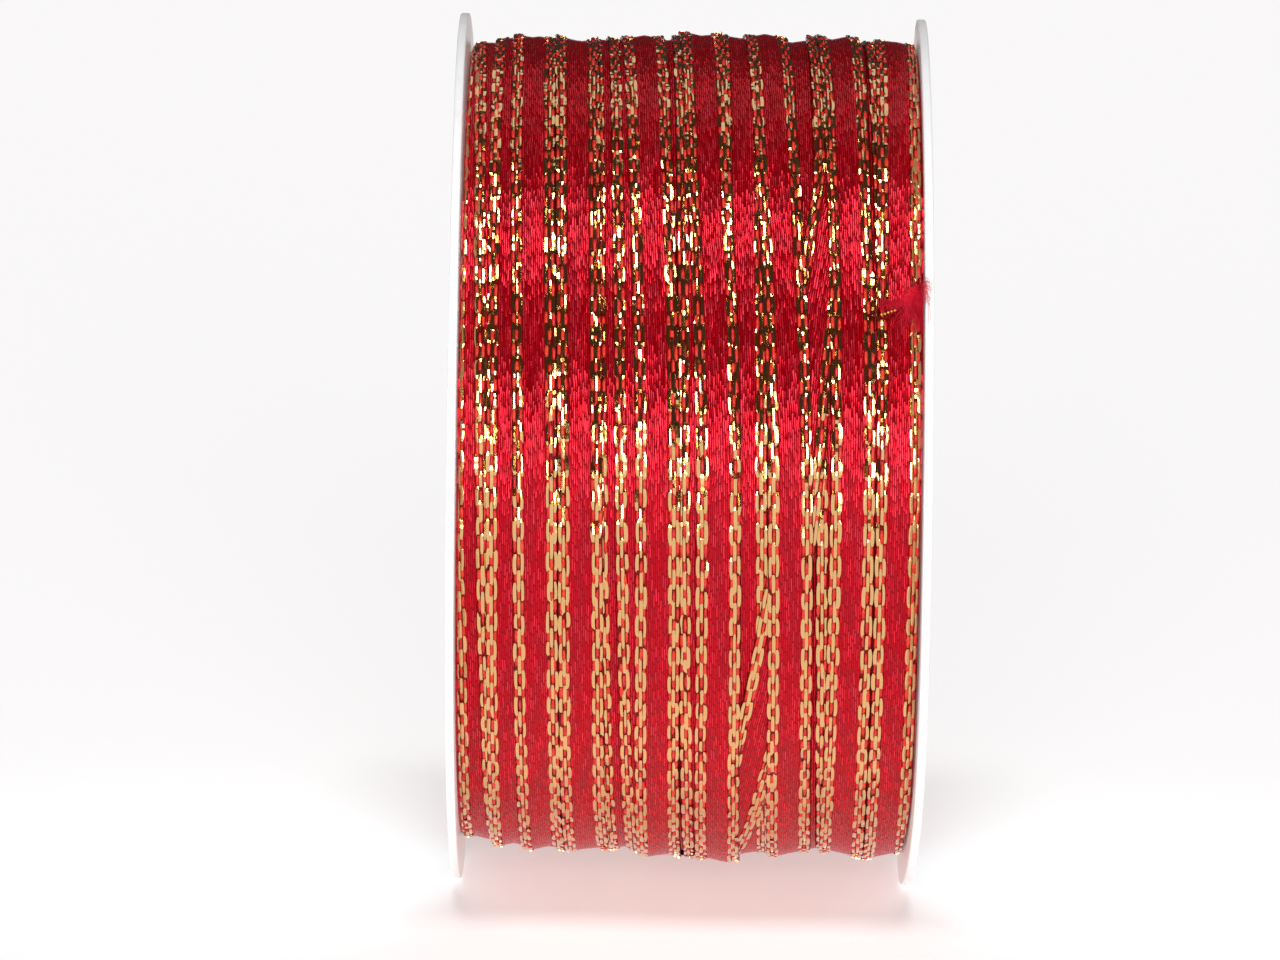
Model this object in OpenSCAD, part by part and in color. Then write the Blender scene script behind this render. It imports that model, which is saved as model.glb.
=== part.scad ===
// Ribbon spool: two thin flanges on a tube core, wound with narrow gold-edged satin ribbon.
// The spool's axis lies along X, the front faces -Y, and +Z is up.
// The origin is the middle of the spindle axis, halfway between the flanges.

/* [Flanges] */
// Diameter of each flange
flange_d = 60; // [58.8:0.1:70]
// Thickness of each flange
flange_t = 0.6; // [0.5:0.1:1]
// Distance between the flanges' inner faces
winding_w = 31; // [31:0.1:36]
// Diameter of the spindle hole through each flange
bore_d = 10; // [6:0.5:12]

/* [Core] */
// Outside diameter of the core tube that the ribbon is wound on
core_d = 30; // [28:0.5:40]
// Wall thickness of the core tube
core_wall = 1.1; // [0.8:0.1:1.5]
// Depth that each flange's spigot reaches into the core tube
spigot_depth = 4.4; // [4:0.1:8]

/* [Ribbon] */
// Width of the ribbon
ribbon_w = 3; // [2.8:0.05:3]
// Thickness of the ribbon at its gold edges
ribbon_t = 0.22; // [0.16:0.01:0.22]
// Height by which the gold yarns stand out of the satin
gold_t = 0.03; // [0.02:0.01:0.06]
// Width of each gold edge
gold_w = 0.8; // [0.5:0.05:1]

/* [Free end] */
// Place of the free end's cut, as an angle round the axis, above the front of the spool
cut_angle = 28.2; // [20:0.2:30]
// Slant of the cut across the ribbon
cut_slant = 35; // [0:1:40]
// Place of the line where the free end starts to lift, as an angle round the axis
bend_angle = 41; // [40:0.5:60]

/* [Hidden] */
$fn = 180;
layer_gap = 0.01;                    // air between one turn and the next
layer_step = ribbon_t + layer_gap;
first_layer_r = 27.1;                // inside radius of the lowest turn in view
seat_gap = 0.04;                     // clearance of the spigot in the core tube
end_gap = 0.05;                      // clearance at each end of the core tube
rim_chamfer = 0.1;
half_w = winding_w / 2;
core_r = core_d / 2;
spigot_r = core_r - core_wall - seat_gap;
spigot_wall = 1.1;
bore_r = bore_d / 2;
collar_r = bore_r + 1.5;
collar_inset = 0.2;                  // depth of the collar's face below the flange's outer face
web_depth = 1.6;                     // depth of the recessed web below the flange's outer face
web_t = 1;
rib_t = 0.9;
rib_count = 6;
tape_t = 0.07;
tape_w = 12;
tape_angle = 50;
pack_r = core_r + tape_t + 0.03;
pack_end_gap = 0.05;
bend_gap = 0.5;                      // angle left open on each side of the bend line
last_level = 5;                      // the last stretch of ribbon lies on turn 16
last_start = 200;                    // angle round the axis where that stretch begins, at the back

// The turns of ribbon in view, from left to right: the place of each one's middle along
// the axis, and the number of turns that it is stacked on
turns = [
    [-13.95, 0], [-12.70, 1], [-12.00, 2], [-10.23, 3], [-7.22, 3], [-4.67, 2], [-3.37, 4], [-2.07, 5],
    [0.80, 4], [2.00, 5], [3.73, 2], [6.75, 4], [7.29, 3], [9.95, 2], [10.90, 4], [13.93, 4]
];

// Turns a profile drawn as [radius, place along the axis] round the spool's axis
module revolve(angle = 360) {
    rotate([0, 90, 0])
        rotate_extrude(angle = angle)
            children();
}

// The same, only from one angle to another above the front of the spool
module revolve_arc(low, high) {
    rotate([270 - high, 0, 0])
        revolve(high - low)
            children();
}

// A ring of rectangular section, from radius r0 to r1 and from x0 to x1 along the axis
module ring(r0, r1, x0, x1) {
    revolve()
        translate([r0, x0])
            square([r1 - r0, x1 - x0]);
}

// One flange with its outer face at x = 0 and its spigot towards +X
module flange() {
    revolve()
        polygon([
            [spigot_r - 0.5, 0], [flange_d / 2 - rim_chamfer, 0], [flange_d / 2, rim_chamfer],
            [flange_d / 2, flange_t - rim_chamfer], [flange_d / 2 - rim_chamfer, flange_t],
            [spigot_r - 0.5, flange_t]
        ]);
    ring(spigot_r - spigot_wall, spigot_r, 0, flange_t + spigot_depth);
    ring(collar_r - 0.5, spigot_r - 0.5, web_depth, web_depth + web_t);
    ring(bore_r, collar_r, collar_inset, flange_t + spigot_depth);
    flange_ribs();
}

// Ribs across the recess, between the collar and the spigot
module flange_ribs() {
    rib_len = spigot_r - spigot_wall - collar_r + 1;
    for (i = [0 : rib_count - 1])
        rotate([i * 360 / rib_count, 0, 0])
            translate([flange_t, -rib_t / 2, collar_r - 0.5])
                cube([web_depth, rib_t, rib_len]);
}

module flange_left() {
    color("white")
        translate([-half_w - flange_t, 0, 0])
            flange();
}

module flange_right() {
    color("white")
        mirror([1, 0, 0])
            translate([-half_w - flange_t, 0, 0])
                flange();
}

module core_tube() {
    color("gainsboro")
        ring(core_r - core_wall, core_r, -half_w + end_gap, half_w - end_gap);
}

// The strip of tape that holds the ribbon's inner end on the core
module anchor_tape() {
    color("lightyellow")
        revolve_arc(180 - tape_angle, 180)
            translate([core_r + 0.01, -tape_w / 2])
                square([tape_t, tape_w]);
}

// All the turns that lie under the ones in view, wound a little fuller in the middle
module ribbon_inner_layers() {
    x_end = half_w - pack_end_gap;
    color("firebrick")
        revolve()
            polygon([
                [pack_r, -x_end], [pack_r, x_end], [27.3, x_end], [27.5, 8],
                [27.5, -6.1], [27.05, -12], [27.05, -x_end]
            ]);
}

// Section of the satin of a length of ribbon: its middle along the axis and its level
module satin_section(place, level) {
    translate([first_layer_r + level * layer_step, place - ribbon_w / 2])
        square([ribbon_t - gold_t, ribbon_w]);
}

// Section of the two bands of gold yarn on the same length of ribbon
module gold_section(place, level) {
    for (side = [-1, 1])
        translate([first_layer_r + level * layer_step + ribbon_t - gold_t,
                   place + side * (ribbon_w - gold_w) / 2 - gold_w / 2])
            square([gold_t, gold_w]);
}

// The turn with this number, counted from 1 at the left
module ribbon_turn(number) {
    turn = turns[number - 1];
    color("crimson")
        revolve()
            satin_section(turn[0], turn[1]);
}

module gold_edges(number) {
    turn = turns[number - 1];
    color("goldenrod")
        revolve()
            gold_section(turn[0], turn[1]);
}

// The last stretch of the ribbon: it lies on the last turn, over the back and the top
module ribbon_last_stretch() {
    color("crimson")
        revolve_arc(bend_angle + bend_gap, last_start)
            satin_section(turns[15][0], last_level);
}

module gold_edges_last_stretch() {
    color("goldenrod")
        revolve_arc(bend_angle + bend_gap, last_start)
            gold_section(turns[15][0], last_level);
}

// The free end of the ribbon, with its slanting cut
module free_end() {
    big = 4 * ribbon_w;
    difference() {
        revolve_arc(cut_angle - 10, bend_angle - bend_gap)
            children();
        rotate([-cut_angle, 0, 0])
            translate([turns[15][0], -first_layer_r, 0])
                rotate([0, -cut_slant, 0])
                    translate([-big, -big, -2 * big])
                        cube(2 * big);
    }
}

module ribbon_tail() {
    color("crimson")
        free_end()
            satin_section(turns[15][0], last_level);
}

module gold_edges_tail() {
    color("goldenrod")
        free_end()
            gold_section(turns[15][0], last_level);
}

flange_left();
flange_right();
core_tube();
anchor_tape();
ribbon_inner_layers();
ribbon_turn(1);  // ribbon_turn_01
ribbon_turn(2);  // ribbon_turn_02
ribbon_turn(3);  // ribbon_turn_03
ribbon_turn(4);  // ribbon_turn_04
ribbon_turn(5);  // ribbon_turn_05
ribbon_turn(6);  // ribbon_turn_06
ribbon_turn(7);  // ribbon_turn_07
ribbon_turn(8);  // ribbon_turn_08
ribbon_turn(9);  // ribbon_turn_09
ribbon_turn(10);  // ribbon_turn_10
ribbon_turn(11);  // ribbon_turn_11
ribbon_turn(12);  // ribbon_turn_12
ribbon_turn(13);  // ribbon_turn_13
ribbon_turn(14);  // ribbon_turn_14
ribbon_turn(15);  // ribbon_turn_15
ribbon_turn(16);  // ribbon_turn_16
gold_edges(1);  // gold_edges_01
gold_edges(2);  // gold_edges_02
gold_edges(3);  // gold_edges_03
gold_edges(4);  // gold_edges_04
gold_edges(5);  // gold_edges_05
gold_edges(6);  // gold_edges_06
gold_edges(7);  // gold_edges_07
gold_edges(8);  // gold_edges_08
gold_edges(9);  // gold_edges_09
gold_edges(10);  // gold_edges_10
gold_edges(11);  // gold_edges_11
gold_edges(12);  // gold_edges_12
gold_edges(13);  // gold_edges_13
gold_edges(14);  // gold_edges_14
gold_edges(15);  // gold_edges_15
gold_edges(16);  // gold_edges_16
ribbon_last_stretch();
gold_edges_last_stretch();
ribbon_tail();
gold_edges_tail();
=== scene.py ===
"""The looks of a spool of gold-edged satin ribbon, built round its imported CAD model."""

import math

import bpy
import numpy as np
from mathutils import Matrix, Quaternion, Vector


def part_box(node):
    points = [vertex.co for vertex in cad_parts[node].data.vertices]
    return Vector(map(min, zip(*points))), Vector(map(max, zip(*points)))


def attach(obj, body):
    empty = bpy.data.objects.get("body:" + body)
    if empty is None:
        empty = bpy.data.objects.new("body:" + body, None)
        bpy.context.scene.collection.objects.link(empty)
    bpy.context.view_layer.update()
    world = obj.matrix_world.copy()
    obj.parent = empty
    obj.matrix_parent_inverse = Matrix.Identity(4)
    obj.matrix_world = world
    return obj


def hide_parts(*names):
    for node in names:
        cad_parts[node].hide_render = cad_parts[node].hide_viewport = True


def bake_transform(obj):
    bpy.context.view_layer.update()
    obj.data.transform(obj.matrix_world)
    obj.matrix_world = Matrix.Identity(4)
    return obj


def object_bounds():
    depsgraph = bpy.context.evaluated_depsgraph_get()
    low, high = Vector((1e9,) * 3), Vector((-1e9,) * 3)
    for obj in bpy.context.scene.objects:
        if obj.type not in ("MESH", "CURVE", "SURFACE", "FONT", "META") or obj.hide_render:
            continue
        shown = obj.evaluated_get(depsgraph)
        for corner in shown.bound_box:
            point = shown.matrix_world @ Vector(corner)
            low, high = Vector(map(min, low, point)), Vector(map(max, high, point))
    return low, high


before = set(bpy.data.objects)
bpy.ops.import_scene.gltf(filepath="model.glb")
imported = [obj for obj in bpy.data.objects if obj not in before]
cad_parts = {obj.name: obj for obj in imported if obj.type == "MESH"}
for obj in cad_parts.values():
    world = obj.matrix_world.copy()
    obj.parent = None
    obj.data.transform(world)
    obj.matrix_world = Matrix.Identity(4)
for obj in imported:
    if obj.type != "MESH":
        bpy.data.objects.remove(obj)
cad_low, cad_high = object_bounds()

MM = 0.001
rng = np.random.default_rng(16)

# ------------------------------------------------------------
# Sizes, in millimetres. The spool's axis is X, the front faces -Y and +Z is up.
# A place on the winding is given by x, by the radius r, and by the turn angle a, which is
# 0 at the front and grows downwards, the way the ribbon was wound.
# ------------------------------------------------------------
RIM_R = cad_high.z / MM
OUTER_X = cad_high.x / MM
FLANGE_T = 0.6
WALL_X = OUTER_X - FLANGE_T

RIBBON_W = 3.0
HALF_W = RIBBON_W / 2
SATIN_T = 0.16
EDGE_T = 0.19
THREAD_W = 0.144
THREAD_COUNT = 10
SATIN_HALF = THREAD_W * THREAD_COUNT / 2
BAND_S = 1.1  # middle of the gold columns along each edge, from the ribbon's middle
COLUMN_GAP = 0.272
LAP = 177.5  # length of one turn, at the mean radius of the winding
WINDING_UP = 0.3

COLUMNS = 480  # steps round the winding
GRID_STEP = 0.05  # and along the axis


def turn_x(number):
    """The middle of the CAD model's turn with this number, along the axis."""
    low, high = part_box("ribbon_turn_%02d" % number)
    return (low.x + high.x) / 2 / MM


# ------------------------------------------------------------
# Mesh helpers
# ------------------------------------------------------------
def spin(x, r, a):
    """Points round the axis, in metres."""
    return np.stack([x, -r * np.cos(a), -r * np.sin(a)], axis=-1) * MM


def wound(x, r, a):
    """Points on the winding, which sits a little high between the flanges."""
    return spin(x, r, a) + np.array([0, 0, WINDING_UP]) * MM


def add_mesh(name, points, quads, caps=(), uv=None, smooth=True, sharp=None):
    """An object made of quads and a few larger faces; uv holds one pair for each point."""
    quads = np.asarray(quads, dtype=np.int32).reshape(-1, 4)
    corners = [quads.ravel()] + [np.asarray(cap, dtype=np.int32) for cap in caps]
    sizes = np.concatenate([np.full(len(quads), 4), [len(cap) for cap in caps]]).astype(np.int32)
    loops = np.concatenate(corners)
    mesh = bpy.data.meshes.new(name)
    mesh.vertices.add(len(points))
    mesh.vertices.foreach_set("co", np.asarray(points, dtype=np.float32).ravel())
    mesh.loops.add(len(loops))
    mesh.loops.foreach_set("vertex_index", loops)
    mesh.polygons.add(len(sizes))
    starts = np.concatenate([[0], np.cumsum(sizes)[:-1]]).astype(np.int32)
    mesh.polygons.foreach_set("loop_start", starts)
    mesh.update(calc_edges=True)
    if uv is not None:
        layer = mesh.uv_layers.new(name="weave")
        layer.uv.foreach_set("vector", np.asarray(uv, dtype=np.float32)[loops].ravel())
    mesh.validate()
    if smooth:
        mesh.shade_smooth()
        if sharp is not None:
            mesh.set_sharp_from_angle(angle=math.radians(sharp))
    else:
        mesh.shade_flat()
    obj = bpy.data.objects.new(name, mesh)
    bpy.context.scene.collection.objects.link(obj)
    return obj


def tube_quads(rings, around):
    """Quads that join rings of points, each ring closed on itself."""
    ring = np.arange(rings - 1)[:, None] * around
    spot = np.arange(around)[None, :]
    after = (spot + 1) % around
    corners = [ring + spot, ring + after, ring + around + after, ring + around + spot]
    return np.stack(corners, axis=-1).reshape(-1, 4)


def closed_tubes(count, rings, around):
    """The quads and the end faces of separate tubes whose points follow one another."""
    first = np.arange(count) * rings * around
    quads = (first[:, None, None] + tube_quads(rings, around)[None]).reshape(-1, 4)
    ring = np.arange(around)
    last = (rings - 1) * around
    return quads, [f + ring[::-1] for f in first] + [f + last + ring for f in first]


def dress(obj, material, body, slot, *nodes):
    """Gives a piece its material and its body, and hides the CAD nodes that it stands for; slot is
    not used.
    """
    obj.data.materials.append(material)
    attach(obj, body)
    if nodes:
        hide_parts(*nodes)


# ------------------------------------------------------------
# Node helpers
# ------------------------------------------------------------
class Nodes:
    """A short way to write a material's node tree."""

    def __init__(self, name):
        self.material = bpy.data.materials.new(name)
        self.material.use_nodes = True
        self.tree = self.material.node_tree
        self.shader = self.tree.nodes["Principled BSDF"]

    def add(self, kind, **settings):
        node = self.tree.nodes.new(kind)
        for key, value in settings.items():
            setattr(node, key, value)
        return node

    def link(self, source, target):
        self.tree.links.new(source, target)

    def feed(self, socket, value):
        if isinstance(value, bpy.types.NodeSocket):
            self.link(value, socket)
        else:
            socket.default_value = value

    def math(self, operation, a, b=0.0, c=0.0):
        node = self.add("ShaderNodeMath", operation=operation)
        for socket, value in zip(node.inputs, (a, b, c)):
            self.feed(socket, value)
        return node.outputs[0]

    def times(self, a, b):
        return self.math("MULTIPLY", a, b)

    def plus(self, a, b):
        return self.math("ADD", a, b)

    def minus(self, a, b):
        return self.math("SUBTRACT", a, b)

    def mix(self, factor, a, b):
        node = self.add("ShaderNodeMix", data_type="RGBA")
        self.feed(node.inputs["Factor"], factor)
        self.feed(node.inputs[6], a)
        self.feed(node.inputs[7], b)
        return node.outputs[2]

    def ranged(self, value, low, high, to_low, to_high):
        """The value carried over from one range to another, smoothly and without going past it."""
        node = self.add("ShaderNodeMapRange", interpolation_type="SMOOTHSTEP")
        for socket, number in zip(node.inputs, (value, low, high, to_low, to_high)):
            self.feed(socket, number)
        return node.outputs[0]

    def tone(self, value, low, high, a, b):
        """Colour a where the value is below low, colour b where it is above high."""
        return self.mix(self.ranged(value, low, high, 0.0, 1.0), a, b)

    def random(self, x, y=0.0):
        """A random number for each whole-number pair."""
        pair = self.add("ShaderNodeCombineXYZ")
        self.feed(pair.inputs[0], x)
        self.feed(pair.inputs[1], y)
        noise = self.add("ShaderNodeTexWhiteNoise", noise_dimensions="2D")
        self.link(pair.outputs[0], noise.inputs["Vector"])
        return noise.outputs["Value"]

    def noise(self, vector, scale, detail=3.0, roughness=0.5):
        node = self.add("ShaderNodeTexNoise")
        self.link(vector, node.inputs["Vector"])
        node.inputs["Scale"].default_value = scale
        node.inputs["Detail"].default_value = detail
        node.inputs["Roughness"].default_value = roughness
        return node.outputs["Fac"]

    def bump(self, height, distance, strength=1.0, normal=None):
        node = self.add("ShaderNodeBump")
        node.inputs["Strength"].default_value = strength
        node.inputs["Distance"].default_value = distance
        self.link(height, node.inputs["Height"])
        if normal is not None:
            self.link(normal, node.inputs["Normal"])
        return node.outputs[0]

    def place(self):
        """The place on the object, in metres."""
        return self.add("ShaderNodeTexCoord").outputs["Object"]

    def weave_place(self):
        """The place across and along the ribbon, in millimetres."""
        node = self.add("ShaderNodeUVMap", uv_map="weave")
        split = self.add("ShaderNodeSeparateXYZ")
        self.link(node.outputs[0], split.inputs[0])
        return split.outputs[0], split.outputs[1]

    def streaks(self, across, along, across_scale, along_scale):
        """A place on the ribbon, scaled, for noise that runs along it."""
        node = self.add("ShaderNodeCombineXYZ")
        self.feed(node.inputs[0], self.times(across, across_scale))
        self.feed(node.inputs[1], self.times(along, along_scale))
        return node.outputs[0]

    def put(self, **values):
        """Sets the shader's inputs: Base_Color is the one called Base Color."""
        for key, value in values.items():
            self.feed(self.shader.inputs[key.replace("_", " ")], value)


# ------------------------------------------------------------
# Materials
# ------------------------------------------------------------
# Painted shade: the satin's red in the gaps between its threads and at the ends of its floats.
RED_GAP_SHADE = (0.27, 0.0, 0.003, 1)
RED = (0.52, 0.0, 0.006, 1)
# Painted highlight: light pink on the crowns of some satin threads.
RED_CROWN_HIGHLIGHT = (1.0, 0.04, 0.07, 1)
RED_SHEEN = (1.0, 0.12, 0.19, 1)
# Painted shade: near-black red for the ribbon's edges, around and under the gold floats.
EDGE_FLOAT_SHADE = (0.17, 0.006, 0.001, 1)
STITCH_DARK = (0.40, 0.004, 0.002, 1)
STITCH_RED = (0.70, 0.010, 0.010, 1)
STITCH_BRIGHT = (0.98, 0.055, 0.02, 1)
FIBRE_DARK = (0.62, 0.0, 0.012, 1)
FIBRE_BRIGHT = (0.98, 0.02, 0.05, 1)
GOLD = (0.78, 0.41, 0.08, 1)
GOLD_WORN = (0.66, 0.30, 0.045, 1)
BEAD_DARK = (0.84, 0.50, 0.08, 1)
BEAD_BRIGHT = (1.0, 0.70, 0.15, 1)
FLANGE_COOL = (0.91, 0.93, 0.94, 1)
FLANGE_PALE = (0.96, 0.965, 0.97, 1)
FLANGE_WORN = (0.74, 0.74, 0.74, 1)
CORE_GREY = (0.60, 0.60, 0.58, 1)
CORE_PALE = (0.72, 0.72, 0.70, 1)
TAPE_DULL = (0.78, 0.70, 0.45, 1)
TAPE_CLEAR = (0.86, 0.80, 0.58, 1)
PAPER_DULL = (0.86, 0.86, 0.86, 1)
PAPER_BRIGHT = (0.89, 0.89, 0.89, 1)
WHITE = (1, 1, 1, 1)

DASH_LEN = 1.05
DASH_ARCH = 0.026  # height of a float of the weave, with its two ends diving
DASH_TILT = 0.17  # steepest slope of a float that lies askew, to both sides
DASH_STEP = 0.4  # how much further on each thread's floats begin, in floats
DASH_SCATTER = 0.8  # and how far that strays
THREAD_ARCH = 0.024
THREAD_WANDER = 0.16
HAIR_SLANT = 0.06  # how far the hairs of a thread turn across it


def satin_material():
    """Lengthwise satin: side-by-side threads, each floating over and diving under in turn, with
    painted shade in the gaps between threads, at the floats' ends and along the edges under the
    gold floats, and painted highlights on some threads' crowns.
    """
    n = Nodes("satin")
    across, along = n.weave_place()
    wander = n.add("ShaderNodeUVMap", uv_map="weave").outputs[0]
    drift = n.times(n.minus(n.noise(wander, 0.7, 1), 0.5), THREAD_WANDER)
    position = n.math("DIVIDE", n.plus(across, drift), THREAD_W)
    thread = n.math("FLOOR", position)
    in_thread = n.math("FRACT", position)
    stagger = n.plus(n.times(thread, DASH_STEP), n.times(n.random(thread), DASH_SCATTER))
    stretch = n.plus(n.math("DIVIDE", along, DASH_LEN), n.times(drift, 2.0))
    travel = n.plus(stretch, stagger)
    dash = n.math("FLOOR", travel)
    centred = n.minus(n.math("FRACT", travel), 0.5)
    chance = n.random(thread, dash)
    askew = n.random(dash, thread)
    round_over = n.math("SINE", n.times(in_thread, math.pi))
    arch = n.minus(1.0, n.times(n.times(centred, centred), 4.0))
    tilt = n.times(n.minus(askew, 0.5), n.times(centred, DASH_TILT * DASH_LEN))
    height = n.plus(n.times(round_over, THREAD_ARCH), n.times(arch, DASH_ARCH))
    height = n.plus(height, tilt)
    slanted = n.plus(across, n.times(along, HAIR_SLANT))
    hairs = n.noise(n.streaks(slanted, along, 50.0, 2.0), 1.0, 2, 0.6)
    normal = n.bump(height, MM, 1.0, n.bump(hairs, 0.00001, 0.5))
    spindle = n.times(round_over, n.ranged(arch, 0.0, 0.5, 0.25, 1.0))
    # Painted shade: darker red towards the gaps between threads and towards the floats' ends.
    body = n.ranged(spindle, 0.1, 0.8, 0.1, 1.0)
    shade = n.times(body, n.ranged(hairs, 0.2, 0.7, 0.75, 1.0))
    # Painted highlight: light pink on the crowns of some threads, picked at random.
    crown_highlight = n.times(n.math("POWER", spindle, 3.0), n.times(chance, chance))
    colour = n.mix(crown_highlight, n.mix(shade, RED_GAP_SHADE, RED), RED_CROWN_HIGHLIGHT)
    # Painted shade: near-black red along the edges, around and under the gold floats.
    colour = n.tone(n.math("ABSOLUTE", across), SATIN_HALF, SATIN_HALF + 0.1, colour, EDGE_FLOAT_SHADE)
    tangent = n.add("ShaderNodeTangent", direction_type="UV_MAP", uv_map="weave")
    n.put(Base_Color=colour, Normal=normal, Tangent=tangent.outputs[0])
    n.put(Roughness=n.plus(n.times(chance, 0.12), 0.24))
    n.put(Anisotropic=0.8, Specular_IOR_Level=1.0, IOR=1.7, Metallic=0.45)
    n.put(Specular_Tint=RED_SHEEN)
    return n.material


def binding_material():
    """The short red stitches of the edges, between the gold floats."""
    n = Nodes("binding yarn")
    across, along = n.weave_place()
    strand = n.streaks(across, along, 30.0, 4.0)
    hairs = n.noise(strand, 1.0, 3, 0.6)
    patch = n.noise(strand, 0.1, 1, 0.5)
    lit = n.tone(patch, 0.35, 0.65, STITCH_RED, STITCH_BRIGHT)
    n.put(Base_Color=n.tone(hairs, 0.3, 0.6, STITCH_DARK, lit))
    n.put(Normal=n.bump(hairs, 0.00002, 0.8), Roughness=n.ranged(hairs, 0.2, 0.8, 0.3, 0.5))
    return n.material


def fibre_material():
    """Loose, soft, deep red fibres."""
    n = Nodes("loose fibres")
    fleck = n.noise(n.place(), 900.0, 3, 0.6)
    n.put(Base_Color=n.tone(fleck, 0.3, 0.7, FIBRE_DARK, FIBRE_BRIGHT))
    n.put(Sheen_Weight=0.5, Sheen_Roughness=0.4, Sheen_Tint=(1.0, 0.1, 0.2, 1))
    n.put(Roughness=n.ranged(fleck, 0.2, 0.8, 0.45, 0.65), Specular_IOR_Level=0.3)
    n.put(Specular_Tint=(1.0, 0.25, 0.35, 1))
    return n.material


def gold_material():
    """Metallised film: flat, bright, a little crinkled and scuffed."""
    n = Nodes("gold film")
    across, along = n.weave_place()
    crease = n.streaks(across, along, 5.0, 1.6)
    crinkle = n.noise(crease, 1.4, 4, 0.65)
    scuff = n.noise(crease, 6.0, 2, 0.5)
    n.put(Base_Color=n.tone(scuff, 0.45, 0.75, GOLD, GOLD_WORN), Metallic=1.0)
    n.put(Normal=n.bump(crinkle, 0.00002, 0.5))
    n.put(Roughness=n.ranged(scuff, 0.3, 0.8, 0.08, 0.17))
    n.put(Coat_Weight=1.0, Coat_Roughness=0.06, Coat_IOR=2.2)
    return n.material


def bead_material():
    """Gold film crumpled so fine that it scatters the light."""
    n = Nodes("crumpled gold")
    crumple = n.noise(n.place(), 6000.0, 3, 0.6)
    n.put(Base_Color=n.tone(crumple, 0.35, 0.65, BEAD_DARK, BEAD_BRIGHT), Metallic=0.35)
    n.put(Normal=n.bump(crumple, 0.00001, 0.5), Roughness=n.ranged(crumple, 0.3, 0.7, 0.25, 0.36))
    return n.material


def flange_material():
    """Thin moulded polystyrene, a little milky, with fine flow lines and a scuffed rim, and a faint
    painted glow of white light.
    """
    n = Nodes("flange plastic")
    place = n.place()
    split = n.add("ShaderNodeSeparateXYZ")
    n.link(place, split.inputs[0])
    y, z = split.outputs[1], split.outputs[2]
    radius = n.math("SQRT", n.plus(n.times(y, y), n.times(z, z)))
    cloud = n.noise(place, 90.0, 4, 0.55)
    grain = n.noise(place, 2600.0, 3, 0.6)
    rim = n.ranged(radius, 0.0285, 0.03, 0.0, 1.0)
    scuffs = n.ranged(n.noise(place, 700.0, 4, 0.7), 0.5, 0.72, 0.0, 1.0)
    wear = n.times(rim, scuffs)
    colour = n.mix(cloud, FLANGE_COOL, FLANGE_PALE)
    colour = n.mix(n.times(wear, 0.5), colour, FLANGE_WORN)
    rings = n.math("SINE", n.times(radius, 9000.0))
    height = n.minus(n.plus(n.times(grain, 0.8), n.times(rings, 0.15)), wear)
    n.put(Base_Color=colour, Normal=n.bump(height, 0.00001, 0.6))
    n.put(Roughness=n.ranged(n.plus(cloud, wear), 0.3, 1.3, 0.3, 0.6))
    n.put(Subsurface_Weight=0.35, Subsurface_Scale=0.0006, Specular_IOR_Level=0.5)
    # Painted glow: the plastic gives off a faint white light of its own, so it looks brighter.
    n.put(Emission_Color=WHITE, Emission_Strength=0.1)
    n.put(Subsurface_Radius=(1.0, 0.9, 0.85))
    return n.material


def core_material():
    """Plain grey moulded plastic with a fine eroded finish."""
    n = Nodes("core plastic")
    grain = n.noise(n.place(), 1800.0, 4, 0.6)
    blotch = n.noise(n.place(), 140.0, 3, 0.5)
    n.put(Base_Color=n.mix(blotch, CORE_GREY, CORE_PALE))
    n.put(Normal=n.bump(grain, 0.00003, 0.5), Roughness=n.ranged(grain, 0.2, 0.8, 0.45, 0.65))
    return n.material


def tape_material():
    """Yellowish clear film with faint streaks."""
    n = Nodes("tape film")
    streak = n.noise(n.place(), 900.0, 3, 0.6)
    n.put(Base_Color=n.mix(streak, TAPE_DULL, TAPE_CLEAR))
    n.put(Roughness=n.ranged(streak, 0.2, 0.8, 0.2, 0.4), Normal=n.bump(streak, 0.00001, 0.4))
    return n.material


def floor_material():
    """Matt studio paper, nearly white."""
    n = Nodes("studio floor")
    tooth = n.noise(n.place(), 700.0, 4, 0.6)
    n.put(Base_Color=n.mix(tooth, PAPER_DULL, PAPER_BRIGHT))
    n.put(Roughness=0.9, Specular_IOR_Level=0.15, Normal=n.bump(tooth, 0.00003, 0.3))
    n.put(Emission_Color=WHITE, Emission_Strength=0.45)
    return n.material


# ------------------------------------------------------------
# The route of the ribbon: the place of its middle along the axis, by turns wound
# ------------------------------------------------------------
UNDER_ROUTE = [(turn - 0.5, -14.0 + 2.8 * turn) for turn in range(12)]
LOWER_ROUTE = [
    (-0.5, -14.6), (0, -14.25), (0.08, -13.95), (0.24, -13.8), (1, -9.2), (2, -4.67), (3, -0.5),
    (4, 3.0), (5, 6.5), (6, 10.0), (7, 13.7), (7.5, 13.8),
]
# The upper layer's route between its turns in view, which follow the CAD model
UPPER_BETWEEN = [
    (-0.5, -14.6), (1, -8.2), (5, 7.0), (7, 13.2), (7.45, 13.8), (7.74, 9.1), (7.86, 9.6),
    (7.9, 8.85), (7.94, 8.05), (8.1, 4.8), (8.2, 2.3), (8.5, -8.4), (8.66, -11.9), (8.8, -12.3),
    (9.83, -10.9), (10.17, -9.8), (10.83, -7.9), (11.17, -6.8), (11.83, -3.1), (12.17, -1.8),
    (12.83, 0.8), (13.17, 2.25), (13.83, 5.4), (14.17, 7.1), (14.83, 10.2), (15.17, 10.8),
    (15.5, 12.0), (15.83, 13.4), (16.17, 13.85), (16.5, 13.8), (17, 13.8),
]
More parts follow.
